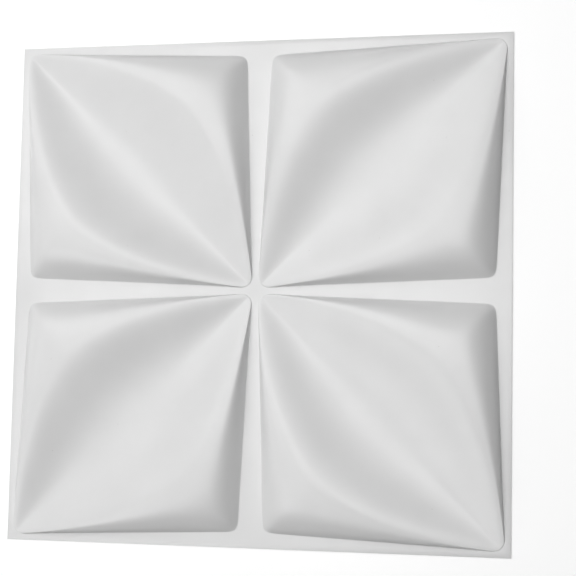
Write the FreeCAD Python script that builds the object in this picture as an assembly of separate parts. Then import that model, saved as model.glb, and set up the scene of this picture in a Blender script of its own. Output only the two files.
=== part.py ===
import FreeCAD, Part
import math
import os

# Square wall panel, thermoformed from one flat plastic sheet.
# The panel lies face up: +Z is out of its face, z = 0 is the back of its flat flange,
# and the origin is under the middle of the panel.

# Driving dimensions, in millimetres
tile_size = 500.0            # side of the square sheet
sheet_thickness = 1.0        # sheet, measured on the flange and on the crests
wall_inset = 0.5             # from a cell's outline on the face in to the one on the back
inner_tip_margin = 2.4       # from both centre lines to a cell's unrounded inner tip
outer_tip_margin = 5.2       # from both panel edges to a cell's unrounded outer tip
side_corner_margin = 11.9    # from a centre line to a cell's unrounded side corner
tip_radius = 11.5            # rounding of a cell's two tips, in plan
side_radius = 9.0            # rounding of a cell's two side corners, in plan
crest_height = 25.0          # crest above the flange, at the middle of the cell
leaf_width = 181.0           # crest to crest, across the middle of the leaf
tip_flank_width = 1.4        # crest to outline, where the rounding of a tip begins
rim_height = 0.8             # steep step at the foot of the flanks
rim_width = 1.1              # width of that step
foot_fillet = 1.0            # width of the rounding where the step meets the flange

# Shape of the curves
crest_bow = 1.5              # power of the crest's bow, in plan
crest_fall = 1.66            # power of the crest's fall towards the tips
groove_lift = 0.01           # how early the leaf rises out of its midrib groove, at mid-cell
tip_groove_lift = 0.2        # the same at the tips, where the groove sharpens to a V
leaf_belly = 0.33            # how high the leaf stands halfway to the crest, at mid-cell
tip_belly = 0.85             # the same at the tips
crest_fullness = 1.12        # how round the leaf turns over into the crest
flank_round = 2.35           # power of the flank's rounding below the crest, at mid-cell
tip_flank_round = 3.4        # the same at the tips
step_share = 1 / 3           # most of a narrow flank that the step, and the rounding below it, may take

# Density of the control net
tip_shares = (0.0, 0.4, 0.75, 1.0)   # rows on the rounding of a tip, as shares of its arc
side_rows = 8                # rows between the rounding of a tip and a side corner
row_crowding = 1.35          # how closely those rows crowd towards the tip
leaf_shares = (0.0, 0.1, 0.22, 0.35, 0.49, 0.63, 0.77, 0.89)   # columns from the groove to a crest
flank_shares = (0.0, 0.1, 0.25, 0.42, 0.6, 0.77, 0.9, 1.0)     # columns from a crest to the step
degree = 3

# A cell in plan is a rhombus: u runs along its long diagonal, v along its short one
half_tile = tile_size / 2
cell_centre = (inner_tip_margin + half_tile - outer_tip_margin) / 2
half_long = math.sqrt(2) * (cell_centre - inner_tip_margin)
half_short = math.sqrt(2) * (cell_centre - side_corner_margin)
side_angle = math.atan2(half_short, half_long)
tip_turn = math.pi / 2 - side_angle
tip_arc_centre = half_long - tip_radius / math.sin(side_angle)

# Rows of a cubic net that stand this far from a corner of 2 * side_angle round it by side_radius
side_reach = degree * side_radius * (1 / math.cos(side_angle) - 1) / math.tan(side_angle)


def blend(middle, tip, toward_tip):
    """A value that changes from mid-cell to a tip, slowly at first."""
    return middle + (tip - middle) * toward_tip ** 2


def leaf_rise(s, toward_tip):
    """Rise from the groove, s = 0, to the crest, s = 1, as a share of the crest's height."""
    t = 1 - s
    lift = blend(groove_lift, tip_groove_lift, toward_tip)
    belly = blend(leaf_belly, tip_belly, toward_tip)
    return 4 * lift * s * t ** 3 + 6 * belly * (s * t) ** 2 + 4 * crest_fullness * s ** 3 * t + s ** 4


def plan_stations(inset):
    """Places (u, half width) of the net's rows, from a tip to mid-cell, on an outline drawn in by inset."""
    radius = tip_radius - inset
    arc = [(tip_arc_centre + radius * math.cos(share * tip_turn), radius * math.sin(share * tip_turn))
           for share in tip_shares]
    blunt_tip = (arc[0][0], arc[1][1] / 2)
    arc_end = arc[-1][0]
    along = [arc_end + (side_reach - arc_end) * (i / side_rows) ** row_crowding
             for i in range(1, side_rows + 1)] + [0.0]
    return [blunt_tip] + arc[1:] + [(u, half_short * (1 - u / half_long) - inset / math.cos(side_angle))
                                    for u in along]


def half_section(u, width, tip_end, arc_end, arc_width):
    """Control points (v, z) across half a cell, from the groove to the foot."""
    toward_tip = u / tip_end
    tip_crest = arc_width - tip_flank_width
    if u < arc_end:
        crest = tip_crest + (leaf_width / 2 - tip_crest) * (1 - (u / arc_end) ** crest_bow)
    else:
        crest = width * tip_crest / arc_width
    rim = rim_height if u < tip_end else 0.0
    rise = (crest_height - rim_height) * (1 - toward_tip ** crest_fall)
    rounding = blend(flank_round, tip_flank_round, toward_tip)
    foot = width - min(foot_fillet, step_share * (width - crest))
    flank_end = foot - min(rim_width, step_share * (foot - crest))
    leaf = [(crest * s, rim + rise * leaf_rise(s, toward_tip)) for s in leaf_shares]
    flank = [(crest + (flank_end - crest) * x, rim + rise * (1 - x ** rounding)) for x in flank_shares]
    return leaf + flank + [(foot, 0.0), (width, 0.0)]


def clamped_knots(pole_count):
    """Evenly spaced knots, and how often each counts, for a curve that starts and ends on a pole."""
    count = pole_count - degree + 1
    return list(range(count)), [degree + 1] + [1] * (count - 2) + [degree + 1]


def relief_surface(inset, scale):
    """Relief of one cell about its own centre, drawn by a net of control points with its heights scaled."""
    stations = plan_stations(inset)
    tip_end = stations[0][0]
    arc_end, arc_width = stations[len(tip_shares) - 1]
    half = []
    for u, width in stations:
        section = half_section(u, width, tip_end, arc_end, arc_width)
        right = [FreeCAD.Vector(u, v, scale * z) for v, z in section]
        left = [FreeCAD.Vector(p.x, -p.y, p.z) for p in reversed(right[1:])]
        half.append(left + right)
    mirrored = [[FreeCAD.Vector(-p.x, p.y, p.z) for p in row] for row in half[:-1]]
    net = mirrored + half[::-1]
    row_knots, row_counts = clamped_knots(len(net))
    column_knots, column_counts = clamped_knots(len(net[0]))
    surface = Part.BSplineSurface()
    surface.buildFromPolesMultsKnots(net, row_counts, column_counts, row_knots, column_knots,
                                     False, False, degree, degree)
    return surface


# The control points lie a little above the crest that they draw, so the net is raised to suit
drawn_height = relief_surface(0.0, 1.0).toShape().optimalBoundingBox(False, False).ZMax
height_scale = crest_height / drawn_height


def sheet_side(level, inset):
    """One side of the sheet: its outer edge, and its faces, four like cells in a flat flange."""
    cell = relief_surface(inset, height_scale).toShape()
    cell.rotate(FreeCAD.Vector(), FreeCAD.Vector(0, 0, 1), 45)
    cell.translate(FreeCAD.Vector(cell_centre, cell_centre, level))
    cells = []
    for quarter in range(4):
        turned = cell.copy()
        turned.rotate(FreeCAD.Vector(), FreeCAD.Vector(0, 0, 1), 90 * quarter)
        cells.append(turned)
    corners = [FreeCAD.Vector(x * half_tile, y * half_tile, level)
               for x, y in ((-1, -1), (1, -1), (1, 1), (-1, 1))]
    edge = Part.makePolygon(corners + corners[:1])
    feet = [Part.Wire(Part.__sortEdges__(turned.Edges)) for turned in cells]
    flange = Part.makeFace([edge] + feet, "Part::FaceMakerBullseye")
    return edge, [flange] + [face for turned in cells for face in turned.Faces]


# The cut edges of the sheet close its back and its face to one solid
back_edge, back_faces = sheet_side(0.0, wall_inset)
front_faces = sheet_side(sheet_thickness, 0.0)[1]
cut_edges = back_edge.extrude(FreeCAD.Vector(0, 0, sheet_thickness))
shell = Part.makeShell(back_faces + cut_edges.Faces + front_faces)
shell.sewShape()
panel = Part.makeSolid(shell)
if panel.Volume < 0:
    panel.reverse()

os.makedirs("parts", exist_ok=True)
panel.exportStep("parts/wall_panel.step")
print("valid", panel.isValid(), "closed", panel.isClosed(), "volume", panel.Volume, panel.BoundBox)
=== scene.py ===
import math

import bpy
from mathutils import Matrix, Vector


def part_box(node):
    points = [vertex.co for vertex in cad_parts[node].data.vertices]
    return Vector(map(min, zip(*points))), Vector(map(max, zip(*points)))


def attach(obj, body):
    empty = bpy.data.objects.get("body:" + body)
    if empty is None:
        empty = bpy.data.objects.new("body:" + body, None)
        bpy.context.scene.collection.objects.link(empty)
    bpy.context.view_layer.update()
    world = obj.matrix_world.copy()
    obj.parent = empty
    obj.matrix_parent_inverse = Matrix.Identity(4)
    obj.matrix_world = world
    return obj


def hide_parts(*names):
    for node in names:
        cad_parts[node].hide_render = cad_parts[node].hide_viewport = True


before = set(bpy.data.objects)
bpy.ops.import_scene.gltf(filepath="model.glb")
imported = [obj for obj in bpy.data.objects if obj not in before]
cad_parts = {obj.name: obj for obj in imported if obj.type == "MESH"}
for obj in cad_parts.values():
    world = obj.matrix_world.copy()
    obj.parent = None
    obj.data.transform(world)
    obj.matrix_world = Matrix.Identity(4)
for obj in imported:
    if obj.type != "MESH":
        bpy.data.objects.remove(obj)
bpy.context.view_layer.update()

# Formed sheet: one square of white PVC, about 1 mm thick, drawn down over a mould while hot.
# Four raised cells, each with a grooved leaf between two crests, stand in a narrow flat flange that is
# glued to the wall. The back is hollow and follows the face, and the outer edges are cut.
low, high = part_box("wall_panel")
tile_side = high.x - low.x
sheet_thickness = 0.001
wall_inset = 0.0005          # from a cell's outline on the face in to the one on the back
inner_tip_margin = 0.0024    # from both centre lines to a cell's unrounded inner tip
outer_tip_margin = 0.0052    # from both panel edges to a cell's unrounded outer tip
side_corner_margin = 0.0119  # from a centre line to a cell's unrounded side corner
tip_radius = 0.0115          # rounding of a cell's two tips, in plan
side_radius = 0.009          # rounding of a cell's two side corners, in plan
crest_height = high.z - low.z - sheet_thickness
leaf_width = 0.177           # crest to crest, across the middle of the leaf
tip_flank_width = 0.001      # crest to outline, where the rounding of a tip begins
rim_height = 0.0004          # steep step at the foot of the flanks
rim_width = 0.0011           # width of that step
foot_fillet = 0.0006         # width of the rounding where the step meets the flange
cut_edge_bevel = 0.00015     # sharpness taken off the cut edges
cut_edge_angle = math.radians(60)            # only the cut edges turn by more than this
shading_angle = math.radians(35)             # bends up to this are shaded smooth
crest_bow = 1.61             # power of the crest's bow, in plan
crest_fall = 1.86            # power of the crest's fall towards the tips
groove_lift, tip_groove_lift = 0.01, 0.08    # how early the leaf rises out of its midrib groove
leaf_belly, tip_belly = 0.22, 0.78           # how high the leaf stands halfway to the crest
crest_fullness, tip_fullness = 1.12, 0.89    # how round the leaf turns over into the crest
flank_round, tip_flank_round = 2.88, 2.55    # power of the flank's rounding below the crest
step_share = 1 / 3           # most of a narrow flank that the step, and the rounding below it, may take
tip_shares = (0.0, 0.4, 0.75, 1.0)           # rows on the rounding of a tip, as shares of its arc
side_rows = 8                # rows between the rounding of a tip and a side corner
row_crowding = 1.35          # how closely those rows crowd towards the tip
leaf_shares = (0.0, 0.05, 0.13, 0.26, 0.42, 0.58, 0.74, 0.87, 0.95)    # columns from the groove to a crest
flank_shares = (0.0, 0.08, 0.19, 0.33, 0.49, 0.66, 0.82, 0.93, 1.0)    # columns from a crest to the step
cage_degree = 3              # the smoothing of a cage draws cubic curves
face_levels, back_levels = 2, 1              # smoothing of the two sides
merge_distance = 1e-6

# A cell in plan is a rhombus: u runs along its long diagonal, v along its short one
cell_centre = (inner_tip_margin + tile_side / 2 - outer_tip_margin) / 2
half_long = math.sqrt(2) * (cell_centre - inner_tip_margin)
half_short = math.sqrt(2) * (cell_centre - side_corner_margin)
side_angle = math.atan2(half_short, half_long)
tip_turn = math.pi / 2 - side_angle
tip_arc_centre = half_long - tip_radius / math.sin(side_angle)

# Rows of the cage that stand this far from a corner of 2 * side_angle round it by side_radius
side_reach = cage_degree * side_radius * (1 / math.cos(side_angle) - 1) / math.tan(side_angle)

# A cell stands in a square quarter of the panel, whose centre lies a little farther out along u
half_diagonal = math.sqrt(2) * tile_side / 4
quarter_shift = math.sqrt(2) * (tile_side / 4 - cell_centre)


def blend(middle, tip, toward_tip):
    """A value that changes from mid-cell to a tip, slowly at first."""
    return middle + (tip - middle) * toward_tip ** 2


def leaf_rise(s, toward_tip):
    """Rise from the groove, s = 0, to the crest, s = 1, as a share of the crest's height: a Bezier curve."""
    t = 1 - s
    lift = blend(groove_lift, tip_groove_lift, toward_tip)
    belly = blend(leaf_belly, tip_belly, toward_tip)
    fullness = blend(crest_fullness, tip_fullness, toward_tip)
    return 4 * lift * s * t ** 3 + 6 * belly * (s * t) ** 2 + 4 * fullness * s ** 3 * t + s ** 4


def plan_stations(inset):
    """Places (u, half width) of the rows from a tip to mid-cell, on an outline drawn in by inset."""
    radius = tip_radius - inset
    arc = [(tip_arc_centre + radius * math.cos(share * tip_turn), radius * math.sin(share * tip_turn))
           for share in tip_shares]
    blunt_tip = (arc[0][0], arc[1][1] / 2)
    arc_end = arc[-1][0]
    along = [arc_end + (side_reach - arc_end) * (i / side_rows) ** row_crowding
             for i in range(1, side_rows + 1)] + [0.0]
    return [blunt_tip] + arc[1:] + [(u, half_short * (1 - u / half_long) - inset / math.cos(side_angle))
                                    for u in along]


def half_section(u, width, tip_end, arc_end, arc_width):
    """Points (v, z) across half a cell, from the groove to a flat hem outside its foot."""
    toward_tip = u / tip_end
    tip_crest = arc_width - tip_flank_width
    if u < arc_end:
        crest = tip_crest + (leaf_width / 2 - tip_crest) * (1 - (u / arc_end) ** crest_bow)
    else:
        crest = width * tip_crest / arc_width
    rim = rim_height if u < tip_end else 0.0
    rise = (crest_height - rim_height) * (1 - toward_tip ** crest_fall)
    rounding = blend(flank_round, tip_flank_round, toward_tip)
    fillet = min(foot_fillet, step_share * (width - crest))
    foot = width - fillet
    flank_end = foot - min(rim_width, step_share * (foot - crest))
    leaf = [(crest * s, rim + rise * leaf_rise(s, toward_tip)) for s in leaf_shares]
    flank = [(crest + (flank_end - crest) * x, rim + rise * (1 - x ** rounding)) for x in flank_shares]
    return leaf + flank + [(foot, 0.0), (width, 0.0), (width + fillet, 0.0)]


def cell_cage(inset):
    """Rows of the cage of one cell about its own centre, from tip to tip, with a flat hem all round."""
    stations = plan_stations(inset)
    tip_end = stations[0][0]
    arc_end, arc_width = stations[len(tip_shares) - 1]
    half = []
    for u, width in stations:
        right = [Vector((u, v, z)) for v, z in half_section(u, width, tip_end, arc_end, arc_width)]
        half.append([Vector((u, -p.y, p.z)) for p in reversed(right[1:])] + right)
    hem = Vector((tip_end - stations[1][0], 0, 0))
    half.insert(0, [p + hem for p in half[0]])
    mirrored = [[Vector((-p.x, p.y, p.z)) for p in row] for row in half[:-1]]
    return mirrored + half[::-1]


def grow_cell(inset, levels, scale):
    """A grid shaped to the cage of one cell and smoothed, as an object of its own."""
    cage = cell_cage(inset)
    rows = len(cage) - 1
    columns = len(cage[0]) - 1
    bpy.ops.object.select_all(action="DESELECT")
    bpy.ops.mesh.primitive_grid_add(x_subdivisions=columns, y_subdivisions=rows, size=1)
    cell = bpy.context.object
    for vertex in cell.data.vertices:
        row = round((vertex.co.y + 0.5) * rows)
        column = round((vertex.co.x + 0.5) * columns)
        vertex.co = cage[row][column]
        vertex.co.z *= scale
    bpy.ops.object.modifier_add(type="SUBSURF")
    smooth = cell.modifiers[-1]
    smooth.levels = levels
    smooth.render_levels = levels
    bpy.ops.object.modifier_apply(modifier=smooth.name)
    return cell


def select_open_edges():
    """Selects the edges of the mesh in edit mode that belong to one face only."""
    bpy.ops.mesh.select_mode(type="EDGE")
    bpy.ops.mesh.select_all(action="DESELECT")
    bpy.ops.mesh.select_non_manifold(use_wire=False, use_boundary=True, use_multi_face=False,
                                     use_non_contiguous=False, use_verts=False)


def add_flange(cell):
    """A flat flange round a cell, out to the square quarter of the panel that it stands in."""
    bpy.ops.object.mode_set(mode="EDIT")
    select_open_edges()
    bpy.ops.mesh.extrude_edges_indiv()
    bpy.ops.object.mode_set(mode="OBJECT")
    outer_vertices = [vertex for vertex in cell.data.vertices if vertex.select]
    hem_end = max(vertex.co.x for vertex in outer_vertices)
    for vertex in outer_vertices:
        u, v = vertex.co.x, vertex.co.y
        if abs(u) > hem_end - merge_distance:
            vertex.co.x = quarter_shift + math.copysign(half_diagonal - abs(v), u)
        else:
            vertex.co.x = u + quarter_shift
            vertex.co.y = math.copysign(half_diagonal - abs(u), v)


def copy_to_quarters(cell):
    """Copies of a cell turned about the panel's centre, merged with it into one mesh of four cells."""
    cells = [cell]
    for quarter in range(1, 4):
        bpy.ops.object.select_all(action="DESELECT")
        cell.select_set(True)
        bpy.context.view_layer.objects.active = cell
        bpy.ops.object.duplicate()
        copied = bpy.context.object
        copied.rotation_euler.z = math.radians(90 * quarter)
        bpy.ops.object.transform_apply(location=True, rotation=True, scale=True)
        cells.append(copied)
    for one_cell in cells:
        one_cell.select_set(True)
    bpy.context.view_layer.objects.active = cell
    bpy.ops.object.join()
    bpy.ops.object.mode_set(mode="EDIT")
    bpy.ops.mesh.select_mode(type="VERT")
    bpy.ops.mesh.select_all(action="SELECT")
    bpy.ops.mesh.remove_doubles(threshold=merge_distance)
    bpy.ops.mesh.select_all(action="DESELECT")
    bpy.ops.object.mode_set(mode="OBJECT")


def straighten_outer_edges(side):
    """Makes each of the four outer edges of a side a single line from corner to corner."""
    edge_line = tile_side / 2 - merge_distance
    for vertex in side.data.vertices:
        nearer, farther = sorted((abs(vertex.co.x), abs(vertex.co.y)))
        vertex.select = farther > edge_line > nearer
    bpy.ops.object.mode_set(mode="EDIT")
    bpy.ops.mesh.dissolve_verts()
    bpy.ops.object.mode_set(mode="OBJECT")


def sheet_side(level, inset, levels, scale):
    """One side of the sheet: four like cells about the panel's centre, in a flat flange."""
    side = grow_cell(inset, levels, scale)
    add_flange(side)
    side.rotation_euler.z = math.radians(45)
    side.location = (cell_centre, cell_centre, level)
    bpy.ops.object.transform_apply(location=True, rotation=True, scale=True)
    copy_to_quarters(side)
    straighten_outer_edges(side)
    return side


# The cage lies a little above the crest that it draws, so its heights are scaled to suit
trial = grow_cell(0.0, face_levels, 1.0)
height_scale = crest_height / max(vertex.co.z for vertex in trial.data.vertices)
bpy.data.objects.remove(trial)

face = sheet_side(low.z + sheet_thickness, 0.0, face_levels, height_scale)
back = sheet_side(low.z, wall_inset, back_levels, height_scale)
face.select_set(True)
bpy.context.view_layer.objects.active = face
bpy.ops.object.join()
panel = bpy.context.object
panel.name = "formed_panel"

# The cut edges join the two sides, and lose their sharpness
bpy.ops.object.mode_set(mode="EDIT")
select_open_edges()
bpy.ops.mesh.bridge_edge_loops()
bpy.ops.mesh.select_all(action="SELECT")
bpy.ops.mesh.normals_make_consistent(inside=False)
bpy.ops.object.mode_set(mode="OBJECT")
bpy.ops.object.modifier_add(type="BEVEL")
bevel = panel.modifiers[-1]
bevel.width = cut_edge_bevel
bevel.segments = 2
bevel.limit_method = "ANGLE"
bevel.angle_limit = cut_edge_angle
bpy.ops.object.modifier_apply(modifier=bevel.name)
bpy.ops.object.shade_smooth_by_angle(angle=shading_angle)

# Satin white PVC: faint clouding and a rare dark fleck in the colour, a sheen that varies a little,
# the fine orange-peel grain of rolled sheet, and the slow unevenness that forming leaves
pvc_ior = 1.53
cloud_dark, cloud_light = (0.688, 0.688, 0.688, 1), (0.712, 0.712, 0.712, 1)
cloud_dark_end, cloud_light_end = 0.3, 0.7   # noise at which the colour is at its darkest and lightest
clouds_per_metre = 22.0
fleck_colour = (0.52, 0.51, 0.50, 1)
fleck_places_per_metre = 16.0
fleck_radius = 0.006         # as a share of the distance between those places
fleck_threshold = 0.75       # a place has a fleck where its lot, from 0 to 1, is above this
sheen_smooth, sheen_rough = 0.29, 0.39       # roughness
sheen_patches_per_metre = 60.0
wave_depth, wave_strength, waves_per_metre = 0.0004, 0.12, 30.0
grain_depth, grain_strength, grains_per_metre = 0.00004, 0.25, 1400.0
plastic = bpy.data.materials.new("satin_white_pvc")
plastic.use_nodes = True
nodes = plastic.node_tree.nodes
links = plastic.node_tree.links
shader = nodes["Principled BSDF"]
shader.inputs["IOR"].default_value = pvc_ior
surface_place = nodes.new("ShaderNodeTexCoord").outputs["Object"]


def cloud(per_metre, detail):
    """Soft noise over the sheet, with about this many clouds to the metre."""
    texture = nodes.new("ShaderNodeTexNoise")
    texture.inputs["Scale"].default_value = per_metre
    texture.inputs["Detail"].default_value = detail
    links.new(surface_place, texture.inputs["Vector"])
    return texture.outputs[0]


def calculate(operation, first, second):
    """The result of one operation on two values, each a number or another node's result."""
    node = nodes.new("ShaderNodeMath")
    node.operation = operation
    for socket, value in zip(node.inputs, (first, second)):
        if isinstance(value, float):
            socket.default_value = value
        else:
            links.new(value, socket)
    return node.outputs[0]


def unevenness(height, depth, strength, onto=None):
    """Bumps of this depth in metres, laid over those of another bump node."""
    bump = nodes.new("ShaderNodeBump")
    bump.inputs["Strength"].default_value = strength
    bump.inputs["Distance"].default_value = depth
    links.new(height, bump.inputs["Height"])
    if onto:
        links.new(onto, bump.inputs["Normal"])
    return bump.outputs["Normal"]


clouding = nodes.new("ShaderNodeValToRGB")
dark_stop, light_stop = clouding.color_ramp.elements
dark_stop.position, dark_stop.color = cloud_dark_end, cloud_dark
light_stop.position, light_stop.color = cloud_light_end, cloud_light
links.new(cloud(clouds_per_metre, detail=5.0), clouding.inputs["Fac"])

fleck_places = nodes.new("ShaderNodeTexVoronoi")
fleck_places.voronoi_dimensions = "2D"
fleck_places.inputs["Scale"].default_value = fleck_places_per_metre
links.new(surface_place, fleck_places.inputs["Vector"])
fleck_lots = nodes.new("ShaderNodeSeparateColor")
links.new(fleck_places.outputs["Color"], fleck_lots.inputs["Color"])
within_fleck = calculate("LESS_THAN", fleck_places.outputs["Distance"], fleck_radius)
rare_fleck = calculate("GREATER_THAN", fleck_lots.outputs["Red"], fleck_threshold)
flecked = nodes.new("ShaderNodeMix")
flecked.data_type = "RGBA"
links.new(calculate("MULTIPLY", within_fleck, rare_fleck), flecked.inputs["Factor"])
links.new(clouding.outputs["Color"], flecked.inputs["A"])
flecked.inputs["B"].default_value = fleck_colour
links.new(flecked.outputs["Result"], shader.inputs["Base Color"])

sheen = nodes.new("ShaderNodeMapRange")
sheen.inputs["To Min"].default_value = sheen_smooth
sheen.inputs["To Max"].default_value = sheen_rough
links.new(cloud(sheen_patches_per_metre, detail=4.0), sheen.inputs["Value"])
links.new(sheen.outputs["Result"], shader.inputs["Roughness"])

forming_waves = unevenness(cloud(waves_per_metre, detail=2.0), wave_depth, wave_strength)
grained = unevenness(cloud(grains_per_metre, detail=2.0), grain_depth, grain_strength, forming_waves)
links.new(grained, shader.inputs["Normal"])

panel.data.materials.clear()
panel.data.materials.append(plastic)

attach(panel, "root")
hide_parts("wall_panel")

# Floor: a wide sheet of matt white paper that the panel lies on, for the pictures only.
# It is no part of the object. It is seen a little brighter than the
# soft boxes light it, and more so far from the panel, so that it runs into a white background.
floor_side = 12.0
paper_colour = (0.97, 0.97, 0.97, 1)
paper_roughness = 0.95
paper_gloss = 0.1
near_glow = 0.1              # brightness added near the panel
glow_start, glow_end = 0.6, 2.2              # distances between which it rises to 1
bpy.ops.object.select_all(action="DESELECT")
bpy.ops.mesh.primitive_plane_add(size=floor_side, location=(0, 0, low.z))
floor = bpy.context.object
floor.name = "floor"
paper = bpy.data.materials.new("pale_floor")
paper.use_nodes = True
paper_nodes = paper.node_tree.nodes
paper_links = paper.node_tree.links
paper_shader = paper_nodes["Principled BSDF"]
paper_shader.inputs["Base Color"].default_value = paper_colour
paper_shader.inputs["Roughness"].default_value = paper_roughness
paper_shader.inputs["Specular IOR Level"].default_value = paper_gloss
floor_distance = paper_nodes.new("ShaderNodeVectorMath")
floor_distance.operation = "LENGTH"
paper_links.new(paper_nodes.new("ShaderNodeTexCoord").outputs["Object"], floor_distance.inputs[0])
glow = paper_nodes.new("ShaderNodeMapRange")
glow.inputs["From Min"].default_value = glow_start
glow.inputs["From Max"].default_value = glow_end
glow.inputs["To Min"].default_value = near_glow
paper_links.new(floor_distance.outputs["Value"], glow.inputs["Value"])
paper_links.new(glow.outputs["Result"], paper_shader.inputs["Emission Color"])
floor_seen = paper_nodes.new("ShaderNodeLightPath").outputs["Is Camera Ray"]
paper_links.new(floor_seen, paper_shader.inputs["Emission Strength"])
floor.data.materials.append(paper)

# Light: square soft boxes on a dome over the panel, the strongest high up on the left side,
# as in a product studio. Each faces the middle of the panel; the white of the room is only seen,
# and gives no light of its own.
dome_radius = 2.4
soft_box_size = 1.29
room_white = (1, 1, 1, 1)
soft_boxes = {               # compass angle from +X, height angle, power in watts
    "key_high": (135, 70, 12.7),
    "key_middle": (135, 50, 10.0),
    "key_low": (135, 30, 6.1),
    "left_front": (225, 50, 13.7),
    "left_low": (180, 30, 5.0),
    "right_back": (45, 70, 10.0),
    "right": (0, 70, 7.0),
    "overhead": (0, 90, 8.2),
}
world = bpy.data.worlds.new("studio")
bpy.context.scene.world = world
world.use_nodes = True
background = world.node_tree.nodes["Background"]
background.inputs["Color"].default_value = room_white
room_seen = world.node_tree.nodes.new("ShaderNodeLightPath").outputs["Is Camera Ray"]
world.node_tree.links.new(room_seen, background.inputs["Strength"])
for name, (compass, height, power) in soft_boxes.items():
    turn, tilt = math.radians(compass), math.radians(height)
    direction = Vector((math.cos(turn) * math.cos(tilt), math.sin(turn) * math.cos(tilt), math.sin(tilt)))
    bpy.ops.object.light_add(type="AREA", location=dome_radius * direction)
    light = bpy.context.object
    light.name = name
    light.data.size = soft_box_size
    light.data.energy = power
    light.rotation_euler = direction.to_track_quat("Z", "Y").to_euler()

# Camera: over the panel, to the right of its middle and a little towards its lower edge, looking down.
# Its place, lens and slight roll come from the panel's corners and cells in the photograph.
camera_place = Vector((0.32653, -0.11931, 1.37084))
camera_target = Vector((0.03291, 0.00264, low.z + sheet_thickness))
camera_roll = math.radians(1.094)
focal_length, sensor_width = 89.99, 36.0     # millimetres
bpy.ops.object.camera_add()
camera = bpy.context.object
away = (camera_place - camera_target).normalized()
rightward = Vector((0, 1, 0)).cross(away).normalized()
upward = away.cross(rightward)
unrolled = Matrix((rightward, upward, away)).transposed()
rolled = (unrolled @ Matrix.Rotation(camera_roll, 3, "Z")).to_4x4()
camera.matrix_world = Matrix.Translation(camera_place) @ rolled
camera.data.lens = focal_length
camera.data.sensor_width = sensor_width
bpy.context.scene.camera = camera
bpy.context.scene.view_settings.view_transform = "Standard"

bpy.context.view_layer.update()
